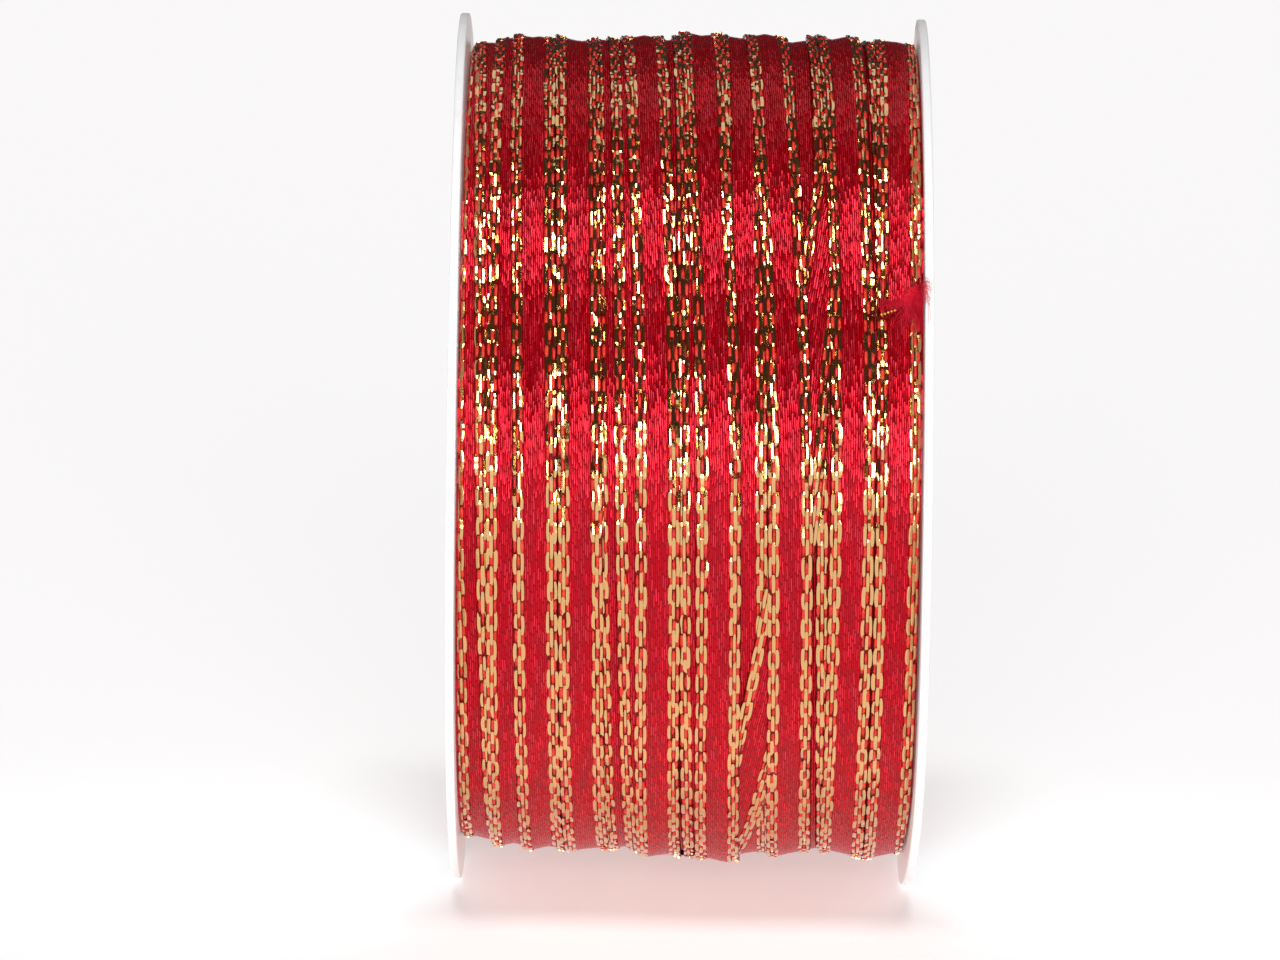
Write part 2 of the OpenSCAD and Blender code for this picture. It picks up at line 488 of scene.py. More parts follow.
# Which turns of the two layers are in view, with the numbers of their CAD turns
LOWER_SEEN = {0: 1, 2: 6}
UPPER_SEEN = {
    0: 2, 2: 7, 3: 9, 4: 11, 6: 14, 8: 13, 9: 3, 10: 4,
    11: 5, 12: 8, 13: 10, 14: 12, 15: 15, 16: 16,
}
UNDER_COUNT = 10
LOWER_COUNT = 8
UPPER_COUNT = 17
LAST_START = 16.5
LAST_END = 17.0


def smooth_route(points):
    """A curve through the points that never overshoots them: places and slopes for a cubic."""
    u, x = np.array(sorted(points), dtype=float).T
    step = np.diff(u)
    rise = np.diff(x) / step
    slope = np.zeros(len(u))
    same_way = rise[:-1] * rise[1:] > 0
    weight_a = 2 * step[1:] + step[:-1]
    weight_b = step[1:] + 2 * step[:-1]
    with np.errstate(divide="ignore", invalid="ignore"):
        mean = (weight_a + weight_b) / (weight_a / rise[:-1] + weight_b / rise[1:])
    slope[1:-1] = np.where(same_way, mean, 0.0)
    slope[0], slope[-1] = rise[0], rise[-1]
    return u, x, slope


def follow(route, at):
    """The places along the axis at these turns of a smooth route."""
    u, x, slope = route
    i = np.clip(np.searchsorted(u, at, side="right") - 1, 0, len(u) - 2)
    step = u[i + 1] - u[i]
    t = (at - u[i]) / step
    return (
        (1 + 2 * t) * (1 - t) ** 2 * x[i] + t * (1 - t) ** 2 * step * slope[i]
        + t * t * (3 - 2 * t) * x[i + 1] + t * t * (t - 1) * step * slope[i + 1]
    )


# ------------------------------------------------------------
# Winding: each turn lies on what was wound before it
# ------------------------------------------------------------
S = np.arange(-HALF_W, HALF_W + GRID_STEP / 2, GRID_STEP)  # places across the ribbon
THICKNESS = SATIN_T + (EDGE_T - SATIN_T) * np.clip((np.abs(S) - SATIN_HALF + 0.1) / 0.1, 0, 1)
GRID = np.arange(-WALL_X, WALL_X + GRID_STEP / 2, GRID_STEP)
# What the turns lie on: places along the axis, with the radius there
BASE_PROFILE = [
    (-15.5, 27.1), (-12, 27.25), (-6, 27.45), (-2, 27.7),
    (4, 27.7), (9, 27.3), (12, 27.35), (15.5, 27.3),
]
DRAPE = 0.22  # steepest slope that the ribbon takes across itself
SAG = 0.05  # steepest slope that it takes along itself
BITE = 0.01  # how far it presses into what it lies on
JOIN_STEPS = 14.0  # how soon a turn leaves the height at which the last one ended
TOP_R = 28.0  # about where the winding ends
WALL_ROOM = 0.26  # how near a flange the ribbon's edge starts to turn down
WALL_SOFT = 0.14  # and how much nearer it still gets


def limited(height, step, axis):
    """The lowest surface over this one that is nowhere steeper than step from cell to cell."""
    h = np.moveaxis(height.copy(), axis, 0)
    for i in range(1, len(h)):
        h[i] = np.maximum(h[i], h[i - 1] - step)
    for i in range(len(h) - 2, -1, -1):
        h[i] = np.maximum(h[i], h[i + 1] - step)
    return np.moveaxis(h, 0, axis)


def blurred(height, sigma, axis):
    """A Gaussian blur, sigma in cells, with the ends held."""
    reach = int(3 * sigma) + 1
    kernel = np.exp(-0.5 * (np.arange(-reach, reach + 1) / sigma) ** 2)
    kernel /= kernel.sum()
    pads = [(0, 0), (0, 0)]
    pads[axis] = (reach, reach)
    padded = np.pad(height, pads, mode="edge")
    size = height.shape[axis]
    return sum(w * np.take(padded, range(i, i + size), axis) for i, w in enumerate(kernel))


class Winding:
    """The surface of the winding so far, and the turns that were laid on it."""

    def __init__(self):
        profile = np.array(BASE_PROFILE).T
        self.height = np.tile(np.interp(GRID, *profile), (COLUMNS, 1))
        self.last = None

    def ground(self, columns, mid):
        """The surface under a ribbon whose middle is at mid, over its whole width."""
        x = np.clip(mid[:, None] + S, -WALL_X, WALL_X)
        cell = (x + WALL_X) / GRID_STEP
        i = np.clip(cell.astype(int), 0, len(GRID) - 2)
        part = cell - i
        row = columns[:, None]
        return self.height[row, i] * (1 - part) + self.height[row, i + 1] * part

    def raise_to(self, columns, mid, top):
        """Raises the surface to the top of a ribbon that was laid on it."""
        cell = (GRID[None, :] - mid[:, None] + HALF_W) / GRID_STEP
        inside = (cell >= 0) & (cell <= len(S) - 1)
        i = np.clip(cell.astype(int), 0, len(S) - 2)
        part = cell - i
        row = np.arange(len(columns))[:, None]
        laid = top[row, i] * (1 - part) + top[row, i + 1] * part
        before = self.height[columns]
        self.height[columns] = np.where(inside, np.maximum(before, laid), before)

    def lay(self, route, start, end):
        """Lays the ribbon from start to end, in turns, over at most one turn."""
        count = int(round((end - start) * COLUMNS))
        u = start + np.arange(count + 1) / COLUMNS
        mid = follow(route, u)
        columns = np.round(u * COLUMNS).astype(int) % COLUMNS
        under = self.ground(columns, mid)
        if count == COLUMNS:  # then the last column is the first one again
            under[-1] = np.maximum(under[-1], under[0])
        bed = limited(under, DRAPE * GRID_STEP, 1)
        bed = limited(bed, SAG * LAP / COLUMNS, 0)
        bed = blurred(blurred(bed, 1.6, 1), 3.0, 0)
        bed = np.maximum(bed, under - BITE)
        if self.last is not None:
            fade = np.exp(-np.arange(count + 1) / JOIN_STEPS)[:, None]
            bed = bed + (self.last - bed[0]) * fade
        self.last = bed[-1]
        top = bed + THICKNESS
        self.raise_to(columns[:count], mid[:count], top[:count])
        return Strip(u, mid, bed, top)

    def lift_off(self):
        """The next length of ribbon isn't joined to the last one."""
        self.last = None


class Strip:
    """A length of laid ribbon: its middle, and its lower and upper surface at each column."""

    def __init__(self, u, mid, bed, top):
        self.u, self.mid, self.bed, self.top = u, mid, bed, top

    def sample(self, surface, u, s):
        """The radius of one of its surfaces at each u and s."""
        row = np.clip((u - self.u[0]) * COLUMNS, 0, len(self.u) - 1.001)
        col = np.clip((s + HALF_W) / GRID_STEP, 0, len(S) - 1.001)
        i, j = row.astype(int), col.astype(int)
        p, q = row - i, col - j
        near = surface[i, j] * (1 - q) + surface[i, j + 1] * q
        far = surface[i + 1, j] * (1 - q) + surface[i + 1, j + 1] * q
        return near * (1 - p) + far * p

    def point(self, u, s, lift, surface=None):
        """Points over the ribbon, in metres, with its edge turned down where a flange is."""
        surface = self.top if surface is None else surface
        row = np.clip((u - self.u[0]) * COLUMNS, 0, len(self.u) - 1)
        x = np.interp(row, np.arange(len(self.u)), self.mid) + s
        r = self.sample(surface, u, s) + lift
        x, drop = against_wall(x, 2 * math.pi * u)
        return wound(x, r - drop, 2 * math.pi * u)


def lean(x, a):
    """How far the rim of the flange on x's side leans outwards, as a thin disc does, in mm."""
    up, down = np.maximum(-np.sin(a), 0.0), np.maximum(np.sin(a), 0.0)
    left = 0.12 * up - 0.12 * down ** 2
    right = 0.06 - 0.30 * up ** 3 - 0.55 * down ** 6
    return np.where(x < 0, left, right) + 0.03 * np.sin(3 * a)


def lean_share(r):
    """The part of the rim's lean that a flange has at radius r."""
    return np.clip((r - SPIGOT_R) / (RIM_R - SPIGOT_R), 0, 1) ** 2


def against_wall(x, a):
    """Turns down what would go through a flange: the new x, and how far it drops."""
    free = WALL_X - WALL_ROOM + np.minimum(lean(x, a) * lean_share(TOP_R), 0.02)
    over = np.maximum(np.abs(x) - free, 0.0)
    kept = WALL_SOFT * (1 - np.exp(-over / WALL_SOFT))
    return np.where(over > 0, np.sign(x) * (free + kept), x), over - kept


# ------------------------------------------------------------
# Ribbon meshes
# ------------------------------------------------------------
def section(fine):
    """Places across the ribbon and heights over its surface: of its top, then of its underside."""
    if fine:
        steps = THREAD_COUNT * 4
        satin = np.linspace(-SATIN_HALF, SATIN_HALF, steps + 1)
        ridge = 0.012 * np.abs(np.sin(np.pi * (satin + SATIN_HALF) / THREAD_W)) ** 0.7
        edge = np.linspace(SATIN_HALF + 0.04, HALF_W - 0.03, 7)
        groove = np.array([-0.012, -0.004, -0.016, -0.004, -0.016, -0.004, -0.03])
    else:
        satin = np.linspace(-SATIN_HALF, SATIN_HALF, 11)
        ridge = np.zeros(11)
        edge = np.array([1.0, HALF_W - 0.03])
        groove = np.array([0.0, -0.03])
    s = np.concatenate([-edge[::-1], satin, edge])
    lift = np.concatenate([groove[::-1], ridge, groove])
    under = np.array([HALF_W, HALF_W - 0.04, 0.5, -0.5, -HALF_W + 0.04, -HALF_W])
    under_lift = np.array([0.08, 0.01, 0.01, 0.01, 0.01, 0.08])
    return s, lift, under, under_lift


def folded(x):
    """Keeps a place across within the satin's own width, mirroring what lies outside."""
    return np.abs((x + SATIN_HALF) % (4 * SATIN_HALF) - 2 * SATIN_HALF) - SATIN_HALF


def ribbon_mesh(name, strip, fine=True, every=1):
    """A closed strip with the ribbon's section."""
    s, lift, under, under_lift = section(fine)
    rows = np.unique(np.append(np.arange(0, len(strip.u), every), len(strip.u) - 1))
    u = strip.u[rows][:, None]
    top = strip.point(u + 0 * s, s + 0 * u, lift)
    low = strip.point(u + 0 * under, under + 0 * u, under_lift, strip.bed)
    points = np.concatenate([top, low], axis=1)
    around = points.shape[1]
    across = np.concatenate([s, under])
    across = np.broadcast_to(across if fine else folded(across), points.shape[:2])
    along = np.broadcast_to(u * LAP, points.shape[:2])
    uv = np.stack([across, along], axis=-1).reshape(-1, 2)
    quads, caps = closed_tubes(1, len(rows), around)
    return add_mesh(name, points.reshape(-1, 3), quads, caps, uv, sharp=50)


# ------------------------------------------------------------
# Gold yarns: flat floats of metallised film, three columns of them along each edge
# ------------------------------------------------------------
FLOAT_PERIOD = 2.2
FLOAT_LENGTH = 1.56
FLOAT_WIDTH = 0.256
FLOAT_SECTION = np.array([(-0.5, -0.06), (-0.42, 0.0), (0.0, 0.01), (0.42, 0.0), (0.5, -0.06)])
FLOAT_RINGS = 7
FLOAT_HEIGHT = 0.06
FLOAT_DIVE = 0.035
MIDDLE_PHASE = 0.9  # where the floats of the middle and the outer columns begin, in periods
OUTER_PHASE = 0.4
COLUMN_LEAN = 0.05  # how far the floats of an outer column turn in at their ends

STITCH_LENGTH = 0.92
STITCH_STRETCH = 0.4  # the share of a float's stray length that its stitch takes
STITCH_WIDEN = 1.06
STITCH_SECTION = np.array([(-0.5, -0.06), (-0.25, 0.015), (0.25, 0.015), (0.5, -0.06)])
STITCH_RINGS = 4
STITCH_HEIGHT = 0.055
STITCH_DIVE = 0.05

# How far the floats stray, as standard deviations: millimetres first, then degrees
STRAY_ALONG = 0.1
STRAY_LENGTH = 0.17
STRAY_WIDTH = 0.026
STRAY_ACROSS = 0.02
STRAY_BEND = 0.012
CRINKLE = 0.006
STRAY_ROLL = 6.0
STRAY_PITCH = 5.2
STRAY_TWIST = 1.1


def edge_rows(start, end, column, side):
    """Middle, length, width, place across and bend of each float of one column of one edge."""
    count = max(1, round((end - start) / FLOAT_PERIOD))
    period = (end - start) / count
    phase = MIDDLE_PHASE if column == 0 else OUTER_PHASE
    along = start + period * (phase + np.arange(count)) + rng.normal(0, STRAY_ALONG, count)
    length = FLOAT_LENGTH + rng.normal(0, STRAY_LENGTH, count)
    width = FLOAT_WIDTH + rng.normal(0, STRAY_WIDTH, count)
    across = side * BAND_S + column * COLUMN_GAP + rng.normal(0, STRAY_ACROSS, count)
    bend = -column * COLUMN_LEAN + rng.normal(0, STRAY_BEND, count)
    return along, length, width, across, bend


def yarn_rows(start, end, stitches):
    """The same for all columns of both edges: of the floats, or of the stitches between them."""
    sets = []
    for side in (-1, 1):
        for column in (-1, 0, 1):
            along, length, width, across, bend = edge_rows(start * LAP, end * LAP, column, side)
            if stitches:
                along = along + FLOAT_PERIOD / 2
                length = STITCH_LENGTH + STITCH_STRETCH * (length - FLOAT_LENGTH)
                width = width * STITCH_WIDEN
                across = across - column * COLUMN_LEAN
                bend = bend * 0
            sets.append((along, length, width, across, bend))
    return (np.concatenate(parts)[:, None, None] for parts in zip(*sets))


def float_lift(t, local, length):
    """How far flat floats stand off the ribbon: arched, and each one a little askew."""
    count, rings = len(length), t.shape[1]
    roll = np.radians(rng.normal(0, STRAY_ROLL, (count, 1, 1)))
    pitch = np.radians(rng.normal(0, STRAY_PITCH, (count, 1, 1)))
    twist = np.radians(rng.normal(0, STRAY_TWIST, (count, rings, 1)))
    crinkle = rng.normal(0, CRINKLE, (count, rings, 1))
    arch = FLOAT_HEIGHT - FLOAT_DIVE * np.abs(t) ** 6
    tilted = local * np.tan(roll + twist) + t * length / 2 * np.tan(pitch)
    return np.clip(arch + crinkle + tilted, -0.03, 0.12)


def yarn_mesh(name, strip, start=None, end=None, trim=None, stitches=False):
    """The floats or stitches along a strip; trim says which places (u, s) have any."""
    start = strip.u[0] if start is None else start
    end = strip.u[-1] if end is None else end
    profile, rings = (STITCH_SECTION, STITCH_RINGS) if stitches else (FLOAT_SECTION, FLOAT_RINGS)
    along, length, width, across, bend = yarn_rows(start, end, stitches)
    t = np.linspace(-1, 1, rings)[None, :, None]
    w, h = profile[None, None, :, 0], profile[None, None, :, 1]
    local = w * width * (1 - 0.35 * np.abs(t) ** 8)
    v = along + t * length / 2 + 0 * w
    s = across + bend * t * t + local
    if stitches:
        lift = STITCH_HEIGHT - STITCH_DIVE * t ** 2 + h + 0 * local
    else:
        lift = float_lift(t, local, length) + h
    if trim is not None:
        kept = trim(along[:, 0, 0] / LAP, across[:, 0, 0], length[:, 0, 0] / LAP)
        v, s, lift = v[kept], s[kept], lift[kept]
    points = strip.point(v / LAP, s, lift)
    uv = np.stack([s + 0 * v, v + 0 * s], axis=-1).reshape(-1, 2)
    quads, ends = closed_tubes(len(points), rings, len(profile))
    return add_mesh(name, points.reshape(-1, 3), quads, ends, uv, smooth=stitches)


# ------------------------------------------------------------
# Building the winding
# ------------------------------------------------------------
BEND_ANGLE = 41.0  # where the free end starts to lift, above the front
CUT_ANGLE = 28.2  # where it is cut, at its middle
CUT_SLANT = 28.0
BEND_U = LAST_END - BEND_ANGLE / 360
CUT_U = LAST_END - CUT_ANGLE / 360


def build_winding(yarns):
    """Lays the whole ribbon in view, and returns the strip that the free end continues."""
    inner_winding(yarns["satin"])
    winding = Winding()
    upper = UPPER_BETWEEN + [(u, turn_x(number)) for u, number in UPPER_SEEN.items()]
    lay_turns(winding, UNDER_ROUTE, UNDER_COUNT, {}, "ribbon_under_%02d", 1, yarns)
    lay_turns(winding, LOWER_ROUTE, LOWER_COUNT, LOWER_SEEN, "ribbon_lower_%02d", 0, yarns)
    lay_turns(winding, upper, UPPER_COUNT, UPPER_SEEN, "ribbon_between_%02d", 0, yarns)
    return winding.lay(smooth_route(upper), LAST_START, LAST_END)


def lay_turns(winding, points, count, seen, hidden_name, first, yarns):
    """One layer: seen has the CAD number of each turn in view, and hidden ones count from first."""
    winding.lift_off()
    route = smooth_route(points)
    for turn in range(count):
        strip = winding.lay(route, turn - 0.5, turn + 0.5)
        if turn in seen:
            number = "%02d" % seen[turn]
            seen_length(number, "ribbon_turn_" + number, strip, yarns)
        else:
            ribbon = ribbon_mesh(hidden_name % (turn + first), strip, fine=False, every=2)
            dress(ribbon, yarns["satin"], "spool", "ribbon")


def seen_length(tag, node, strip, yarns):
    """A length of ribbon in view: its satin, its gold floats and its stitches."""
    ribbon = ribbon_mesh("satin_" + tag, strip)
    dress(ribbon, yarns["satin"], "spool", "ribbon", node)
    floats = yarn_mesh("gold_floats_" + tag, strip)
    dress(floats, yarns["gold"], "spool", "gold_yarn", "gold_edges_" + tag)
    stitches = yarn_mesh("edge_stitches_" + tag, strip, stitches=True)
    dress(stitches, yarns["binding"], "spool", "ribbon")


def inner_winding(satin):
    """Everything that is wound under the turns, as one body."""
    inner_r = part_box("core_tube")[1].z / MM + 0.1
    end = WALL_X - 0.05
    top = [(x, r - 0.1) for x, r in BASE_PROFILE[1:-1]]
    left = [(-end, inner_r), (-end, BASE_PROFILE[0][1])]
    right = [(end, BASE_PROFILE[-1][1]), (end, inner_r)]
    outline = divided(np.array(left + top + right), LONGEST_SIDE)
    a = np.linspace(0, 2 * math.pi, AROUND + 1)[:, None]
    points = wound(outline[:, 0] + 0 * a, outline[:, 1] + 0 * a, a)
    across = folded(outline[:, 0])
    uv = np.stack([across + 0 * a, a * LAP / (2 * math.pi) + 0 * across], axis=-1)
    quads = tube_quads(AROUND + 1, len(outline))
    obj = add_mesh("inner_winding", points.reshape(-1, 3), quads, uv=uv.reshape(-1, 2), sharp=40)
    dress(obj, satin, "spool", "ribbon", "ribbon_inner_layers")


def part_of(strip, start, end):
    """The stretch of a strip from start to end."""
    i, j = (int(round((u - strip.u[0]) * COLUMNS)) for u in (start, end))
    cut = slice(i, j + 1)
    return Strip(strip.u[cut], strip.mid[cut], strip.bed[cut], strip.top[cut])


# ------------------------------------------------------------
# The free end
# ------------------------------------------------------------
TAIL_ROWS = 40
END_LIFT = 0.75
BLEND_LENGTH = 2.4  # a length along the free end from where it lifts, in mm; the place that far on is worked out but not used

FRAY_RINGS = 9
FRAY_R = 0.010
FRAY_REACH = 15.95  # how far out over the flange the longest fibres go
FRAY_OVER = 0.11  # the share of the fibres that go over it
FRAY_EDGE = 1.45
FRAY_HEADING = 26.0  # degrees towards the flange, with how far that strays
FRAY_STRAY = 30.0
FRAY_FAN = 22.0  # degrees more at the edge beside the flange
FRAY_CURL = 45.0

BEADS = 5
BEAD_STEPS = 112
BEAD_R = 0.075
BEAD_THREAD_R = 0.006
BEAD_START = -1.3
BEAD_SPAN = 1.12


def cut_at(s):
    """Where the slanting cut is, in turns, at a place across the ribbon."""
    return CUT_U - s * math.tan(math.radians(CUT_SLANT)) / LAP


def rise_of(u, s):
    """How far the free end stands off the winding."""
    t = np.clip((u - BEND_U) / (CUT_U - BEND_U), 0, 1.4)
    return END_LIFT * t * t * (1 + 0.15 * s / HALF_W) + 0.03 * t * np.sin(9 * t + 2 * s)


def free_strip(strip):
    """The last strip with the free end lifted."""
    u, s = np.meshgrid(strip.u, S, indexing="ij")
    rise = rise_of(u, s)
    return Strip(strip.u, strip.mid, strip.bed + rise, strip.top + rise)


def tail_mesh(strip, start):
    """The free end of the satin, up to its slanting cut."""
    s, lift, under, under_lift = section(True)
    across = np.concatenate([s, under])
    ends = cut_at(across)
    t = np.linspace(0, 1, TAIL_ROWS)[:, None]
    ragged = 0.12 * np.sin(across * 23) / LAP
    u = start + t * (ends + ragged * t - start)
    flat = np.zeros_like(t)
    top = strip.point(u[:, :len(s)], s + flat, lift)
    low = strip.point(u[:, len(s):], under + flat, under_lift, strip.bed)
    points = np.concatenate([top, low], axis=1)
    uv = np.stack([across + flat, u * LAP], axis=-1).reshape(-1, 2)
    quads, caps = closed_tubes(1, TAIL_ROWS, points.shape[1])
    return add_mesh("free_end", points.reshape(-1, 3), quads, caps, uv, sharp=50)


def tubes(name, paths, radii, sides):
    """Thin tubes along paths (count, rings, 3), in metres."""
    count, rings = paths.shape[:2]
    ahead = np.gradient(paths, axis=1)
    ahead /= np.linalg.norm(ahead, axis=2, keepdims=True) + 1e-12
    helper = np.where(np.abs(ahead[..., :1]) < 0.9, [1.0, 0, 0], [0, 1.0, 0])
    left = np.cross(ahead, helper)
    left /= np.linalg.norm(left, axis=2, keepdims=True) + 1e-12
    out = np.cross(ahead, left)
    angle = 2 * math.pi * np.arange(sides) / sides
    ring = left[:, :, None] * np.cos(angle)[:, None] + out[:, :, None] * np.sin(angle)[:, None]
    points = paths[:, :, None] + ring * radii[..., None, None]
    quads, caps = closed_tubes(count, rings, sides)
    across = np.tile(np.arange(sides) * 0.03, count * rings)
    along = np.repeat(np.arange(count * rings) * 0.1, sides)
    return add_mesh(name, points.reshape(-1, 3), quads, caps, np.stack([across, along], axis=-1))


def fray_paths(strip, count, inner, longer=1.0):
    """Loose fibres from the cut, from inner to its edge, blown down towards the right flange."""
    t = np.linspace(0, 1, FRAY_RINGS)[None, :]
    s0 = rng.uniform(inner, FRAY_EDGE, count)[:, None]
    share = (s0 + HALF_W) / RIBBON_W
    length = rng.uniform(0.4, 1.0, count)[:, None] * (0.5 + 1.5 * share) * longer
    heading = rng.normal(FRAY_HEADING, FRAY_STRAY, count) + FRAY_FAN * share[:, 0] / longer
    curl = np.radians(rng.normal(0, FRAY_CURL, count))[:, None]
    turn = np.clip(np.radians(heading)[:, None] + curl * t, -1.2, 1.35)
    ds = np.sin(turn) * length / FRAY_RINGS
    dv = np.cos(turn) * length / FRAY_RINGS
    s = s0 + np.cumsum(ds, axis=1) - ds[:, :1]
    inside = rng.uniform(0.0, 0.4, count)[:, None]
    u = cut_at(s0) - inside / LAP + (np.cumsum(dv, axis=1) - dv[:, :1]) / LAP
    fall = rng.uniform(0.2, 1.1, count)[:, None] * length * t ** 1.5 * 0.45
    on_ribbon = np.clip(s, -HALF_W, HALF_W)
    base = strip.sample(strip.top, np.minimum(u, strip.u[-1]), on_ribbon)
    row = np.clip((u - strip.u[0]) * COLUMNS, 0, len(strip.u) - 1)
    x = np.interp(row, np.arange(len(strip.u)), strip.mid) + s
    goes_over = rng.random((count, 1)) < FRAY_OVER
    reach = np.where(goes_over, rng.uniform(WALL_X, FRAY_REACH, (count, 1)), WALL_X - 0.1)
    free = reach - 0.5
    x = np.where(x > free, free + 0.5 * np.tanh((x - free) / 0.5), x)
    r = np.maximum(base[:, :1] + 0.02 - fall, base - rise_of(u, on_ribbon) + 0.05)
    over = np.clip((x - (WALL_X - 0.35)) / 0.35, 0, 1) * (reach > WALL_X)
    r = r + over * np.maximum(RIM_R + 0.04 - r, 0)
    return wound(x, r, 2 * math.pi * u)


def frayed_fibres(strip):
    """The loose fibres: some all along the cut, more near its edge, and the longest ones there."""
    sets = [(450, -1.4), (500, 0.5), (600, 0.3, 2.1)]
    paths = np.concatenate([fray_paths(strip, *values) for values in sets])
    radii = np.full(paths.shape[:2], FRAY_R * MM)
    radii[:, -1] *= 0.5
    return tubes("frayed_fibres", paths, radii, 3)


def beaded_yarn(strip):
    """A loose gold yarn along the cut, kinked into beads where it was woven."""
    t = np.linspace(0, 1, BEAD_STEPS)
    s = BEAD_START + BEAD_SPAN * t
    u = cut_at(BEAD_START) + (0.70 - 0.36 * t + 0.04 * np.sin(6 * t)) / LAP
    wave = np.abs(np.sin(BEADS * math.pi * t))
    path = strip.point(u, s, 0.2 + 0.03 * np.sin(5 * t))[None]
    radii = (BEAD_THREAD_R + BEAD_R * wave ** 4)[None] * MM
    return tubes("beaded_yarn", path, radii, 8)


def build_free_end(strip, start, yarns):
    """The free end and all that rides on it, from start on."""
    lifted = free_strip(strip)

    def on_tail(u, s, length):
        return u + 0.6 * length < cut_at(s)

    ribbon = tail_mesh(lifted, start)
    fray = frayed_fibres(lifted)
    end = CUT_U + 3 / LAP
    floats = yarn_mesh("gold_floats_free_end", lifted, start, end, on_tail)
    stitches = yarn_mesh("edge_stitches_free_end", lifted, start, end, on_tail, stitches=True)
    beads = beaded_yarn(lifted)
    hinge, past = lifted.point(np.array([start, start + BLEND_LENGTH / LAP]), np.zeros(2), 0.0)
    parts = [
        (ribbon, yarns["satin"], "ribbon", "ribbon_tail"),
        (fray, fibre_material(), "ribbon", None),
        (floats, yarns["gold"], "gold_yarn", "gold_edges_tail"),
        (stitches, yarns["binding"], "ribbon", None),
        (beads, bead_material(), "gold_yarn", None),
    ]
    for obj, material, slot, node in parts:
        obj.data.materials.append(material)
        if node:
            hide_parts(node)
        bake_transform(obj)


# ------------------------------------------------------------
# Flanges
# ------------------------------------------------------------
SPIGOT_R = 13.86
SPIGOT_WALL = 1.1
SPIGOT_END = 5.0
BORE_R = 5.0
COLLAR_R = 6.5
COLLAR_INSET = 0.2
WEB_OUT = 1.6
WEB_IN = 2.6
RIB_T = 0.9
RIB_COUNT = 6
RIB_DEPTHS = (0.6, 2.2)  # its top and its foot, from the flange's face
RIB_DRAFT = 0.1
RIB_ROUND = 0.18
FLANGE_ROUND = 0.14
PIN_SIDES = 24
PIN_PROFILE = [(1.0, 0.05), (1.0, -0.03), (0.94, -0.06), (0.02, -0.05)]  # radius, depth in the web
AROUND = 288
LONGEST_SIDE = 1.5


def filleted(points, radius, steps=3):
    """A closed outline with its corners rounded."""
    points = [np.array(p, dtype=float) for p in points]
    done = []
    for i, corner in enumerate(points):
        before, after = points[i - 1] - corner, points[(i + 1) % len(points)] - corner
        reach = min(radius, 0.45 * np.linalg.norm(before), 0.45 * np.linalg.norm(after))
        a = corner + before / np.linalg.norm(before) * reach
        b = corner + after / np.linalg.norm(after) * reach
        for k in range(steps + 1):
            t = k / steps
            done.append((1 - t) ** 2 * a + 2 * t * (1 - t) * corner + t * t * b)
    return np.array(done)


def divided(outline, longest):
    """The same closed outline, with its long sides cut into shorter ones."""
    done = []
    for a, b in zip(outline, np.roll(outline, -1, axis=0)):
        pieces = max(1, math.ceil(np.linalg.norm(b - a) / longest))
        done += [a + (b - a) * k / pieces for k in range(pieces)]
    return np.array(done)


def flange_piece(name, side, plastic, node):
    """A flange, turned round the axis; side is -1 for the left one and 1 for the right one."""
    inner_r = SPIGOT_R - SPIGOT_WALL
    outline = filleted([
        (0, inner_r), (0, RIM_R), (FLANGE_T, RIM_R), (FLANGE_T, SPIGOT_R), (SPIGOT_END, SPIGOT_R),
        (SPIGOT_END, inner_r), (WEB_IN, inner_r), (WEB_IN, COLLAR_R), (SPIGOT_END, COLLAR_R),
        (SPIGOT_END, BORE_R), (COLLAR_INSET, BORE_R), (COLLAR_INSET, COLLAR_R), (WEB_OUT, COLLAR_R),
        (WEB_OUT, inner_r),
    ], FLANGE_ROUND)
    outline = divided(outline, LONGEST_SIDE)
    a = np.linspace(0, 2 * math.pi, AROUND, endpoint=False)[:, None]
    depth, r = outline[:, 0][None], outline[:, 1][None]
    x = side * (OUTER_X - depth + lean(side, a) * lean_share(r))
    points = spin(x, r + 0 * a, a)
    rings, around = points.shape[:2]
    quads = tube_quads(rings + 1, around) % (rings * around)
    points = points.reshape(-1, 3)
    for part_points, part_quads in flange_trim(side):
        quads = np.concatenate([quads, part_quads + len(points)])
        points = np.concatenate([points, part_points])
    if side > 0:
        quads = quads[:, ::-1]
    obj = add_mesh(name, points, quads, sharp=40)
    dress(obj, plastic, "spool", "flange", node)


def flange_trim(side):
    """Ribs across the recess, and the round marks of the mould's ejector pins on the web."""
    parts = []
    inner_r = SPIGOT_R - SPIGOT_WALL
    for i in range(RIB_COUNT):
        a = 2 * math.pi * (i + 0.5) / RIB_COUNT
        parts.append(rib(side, a, COLLAR_R - 0.3, inner_r + 0.3))
        parts.append(pin_mark(side, a + math.pi / RIB_COUNT, (COLLAR_R + inner_r) / 2))
    return parts


def rib(side, a, r_from, r_to):
    """One rib with a rounded top, from the collar to the spigot."""
    top, foot = RIB_DEPTHS
    half = RIB_T / 2
    outline = filleted([
        (top, -half), (top, half), (foot, half + RIB_DRAFT), (foot, -half - RIB_DRAFT),
    ], RIB_ROUND)
    points = []
    for r in (r_from, r_to):
        angle = a + outline[:, 1] / r
        points.append(spin(side * (OUTER_X - outline[:, 0]), r + 0 * angle, angle))
    return np.concatenate(points), tube_quads(2, len(outline))


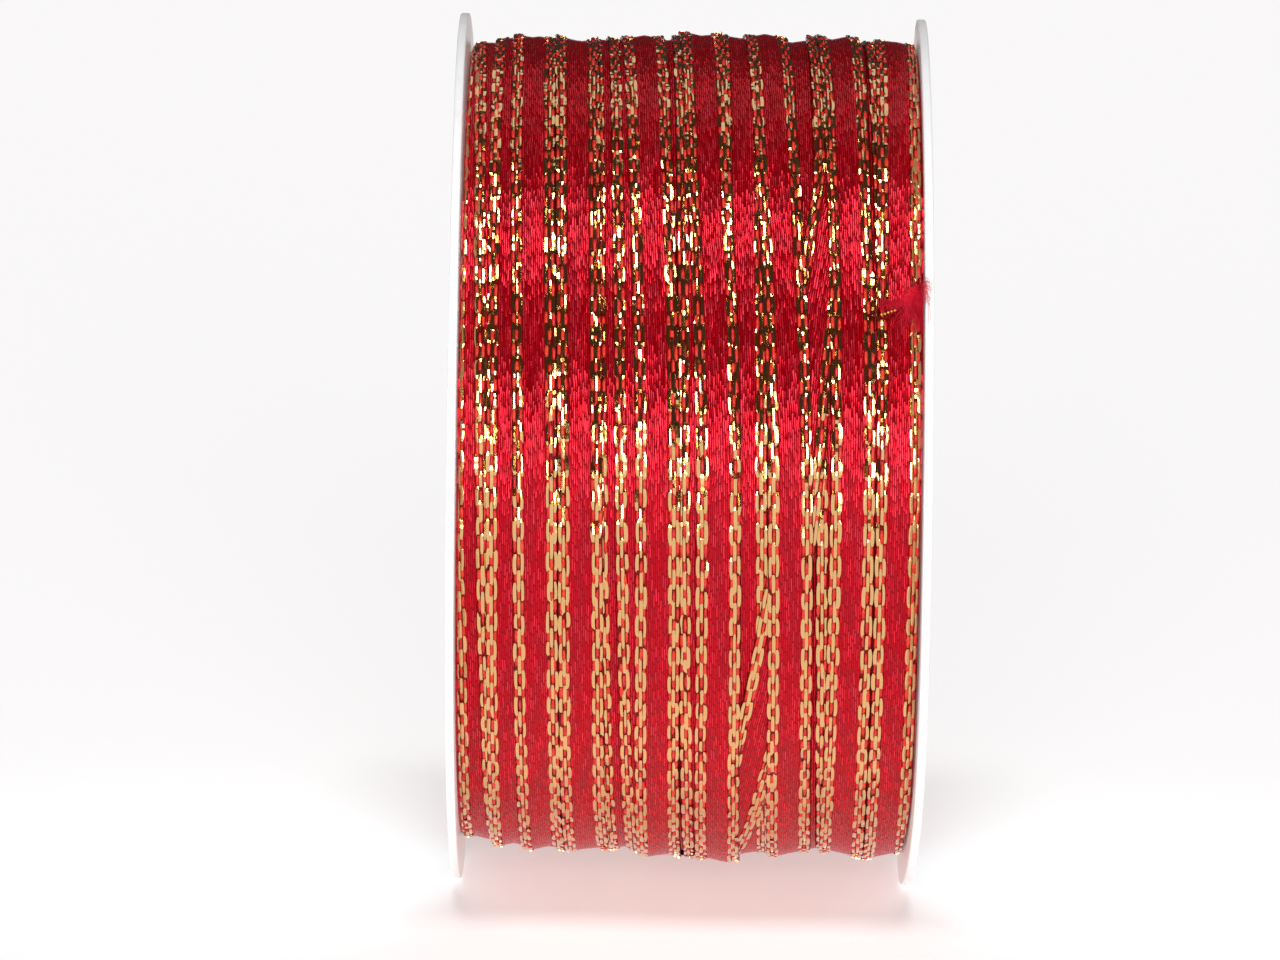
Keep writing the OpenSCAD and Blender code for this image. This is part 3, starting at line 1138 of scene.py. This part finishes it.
def pin_mark(side, a, r):
    """A low round pad, 2 mm across."""
    angle = 2 * math.pi * np.arange(PIN_SIDES) / PIN_SIDES
    points = []
    for radius, depth in PIN_PROFILE:
        x = side * (OUTER_X - (WEB_OUT + depth) + 0 * angle)
        points.append(spin(x, r + radius * np.cos(angle), a + radius * np.sin(angle) / r))
    return np.concatenate(points), tube_quads(len(PIN_PROFILE), PIN_SIDES)


# ------------------------------------------------------------
# Stage, light and camera
# ------------------------------------------------------------
FLOOR_HALF = 6.0  # metres
ROOM_LIGHT = (0.05, 0.036, 0.036, 1)
ROOM_SEEN = (0.99, 0.99, 0.99, 1)
# Each light's name, azimuth, elevation and how wide it looks, all in degrees, and its strength
LIGHTS = [
    ("key", 0, 67, 22, 1.35),
    ("front", 0, 9, 27, 1.9),
    ("back", 180, 59, 30, 0.17),
]
VIEW_ELEVATION = 8.0
VIEW_DISTANCE = 0.65  # metres
VIEW_ROLL = 0.84
LENS = 263.5
SHIFT = (-0.0387, -0.0242)


def build_floor():
    size, z = FLOOR_HALF, cad_low.z
    corners = [(-size, -size, z), (size, -size, z), (size, size, z), (-size, size, z)]
    floor = add_mesh("floor", corners, [(0, 1, 2, 3)])
    floor.data.materials.append(floor_material())


def direction(azimuth, elevation):
    """From the spool towards a place seen at this azimuth and elevation."""
    a, e = math.radians(azimuth), math.radians(elevation)
    return Vector((math.sin(a) * math.cos(e), -math.cos(a) * math.cos(e), math.sin(e)))


def soft_light(name, azimuth, elevation, spread, light):
    """A round soft source far away."""
    data = bpy.data.lights.new(name, "SUN")
    data.angle = math.radians(spread)
    data.energy = light
    lamp = bpy.data.objects.new(name, data)
    towards = direction(azimuth, elevation)
    lamp.location = towards * 2
    lamp.rotation_mode = "QUATERNION"
    lamp.rotation_quaternion = towards.to_track_quat("Z", "Y")
    bpy.context.scene.collection.objects.link(lamp)


def build_world():
    """A dim room, which looks pale where the camera sees past the floor."""
    world = bpy.data.worlds.new("studio")
    world.use_nodes = True
    tree = world.node_tree
    path = tree.nodes.new("ShaderNodeLightPath")
    mix = tree.nodes.new("ShaderNodeMix")
    mix.data_type = "RGBA"
    mix.inputs[6].default_value = ROOM_LIGHT
    mix.inputs[7].default_value = ROOM_SEEN
    tree.links.new(path.outputs["Is Camera Ray"], mix.inputs["Factor"])
    tree.links.new(mix.outputs[2], tree.nodes["Background"].inputs["Color"])
    bpy.context.scene.world = world


def build_camera():
    data = bpy.data.cameras.new("camera")
    data.lens = LENS
    data.sensor_width = 36
    data.shift_x, data.shift_y = SHIFT
    data.clip_start, data.clip_end = 0.05, 50
    camera = bpy.data.objects.new("camera", data)
    back = direction(0, VIEW_ELEVATION)
    camera.location = back * VIEW_DISTANCE
    camera.rotation_mode = "QUATERNION"
    roll = Quaternion((0, 0, 1), math.radians(VIEW_ROLL))
    camera.rotation_quaternion = (-back).to_track_quat("-Z", "Y") @ roll
    bpy.context.scene.collection.objects.link(camera)
    bpy.context.scene.camera = camera


def main():
    yarns = {"satin": satin_material(), "gold": gold_material(), "binding": binding_material()}
    plastic = flange_material()
    last = build_winding(yarns)
    laid = part_of(last, LAST_START, BEND_U)
    seen_length("last_stretch", "ribbon_last_stretch", laid, yarns)
    build_free_end(last, laid.u[-1], yarns)
    flange_piece("flange_disc_left", -1, plastic, "flange_left")
    flange_piece("flange_disc_right", 1, plastic, "flange_right")
    kept = {"core_tube": core_material(), "anchor_tape": tape_material()}
    for node, material in kept.items():
        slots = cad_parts[node].data.materials
        slots.clear()
        slots.append(material)
    build_floor()
    build_world()
    for light in LIGHTS:
        soft_light(*light)
    build_camera()
    bpy.context.scene.view_settings.view_transform = "Standard"


main()
